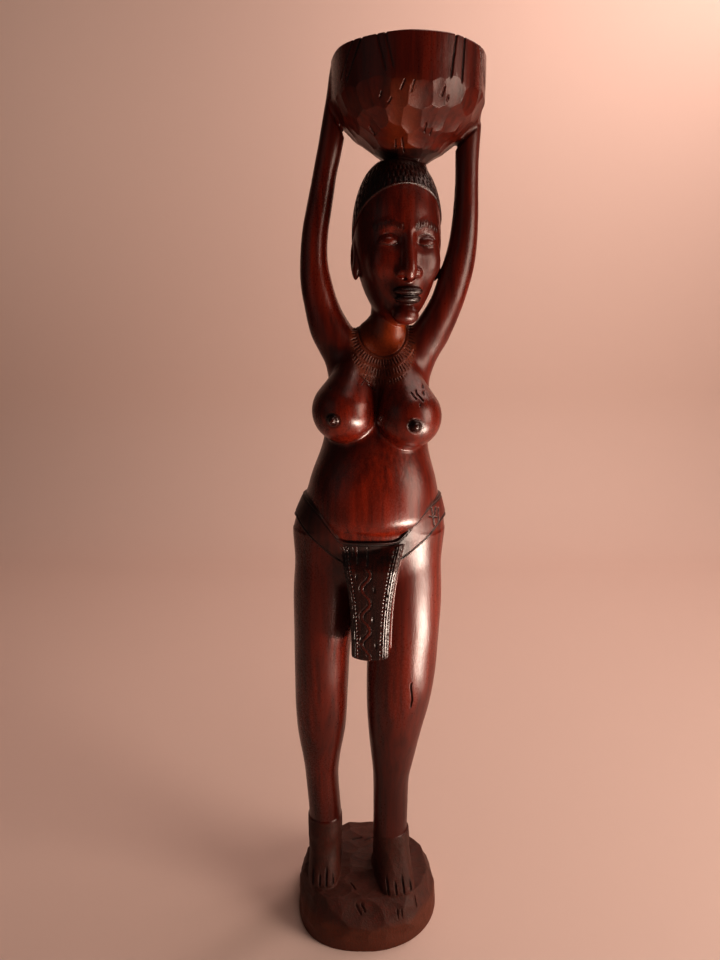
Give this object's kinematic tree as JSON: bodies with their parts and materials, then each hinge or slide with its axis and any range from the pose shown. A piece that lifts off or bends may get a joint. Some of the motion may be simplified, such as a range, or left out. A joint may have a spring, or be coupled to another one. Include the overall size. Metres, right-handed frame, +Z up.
{
  "type": "carved wooden bearer figure",
  "caption": "Carved dark red hardwood figure of a standing woman with raised arms, who carries a hollow bowl on her head and stands on a round base.",
  "frame": {"origin": "middle of the flat underside of the base, on the surface that the figure stands on", "axes": "+Z up to the rim of the bowl, -Y out of the figure's face and chest, +X towards the figure's own left side"},
  "size_m": [0.1254, 0.106, 0.6],
  "materials": {
    "wood": "polished dark red hardwood, blackened in places, duller and rougher on the feet and base"
  },
  "bodies": {
    "root": {"carved_figure": "wood"}
  },
  "joints": []
}
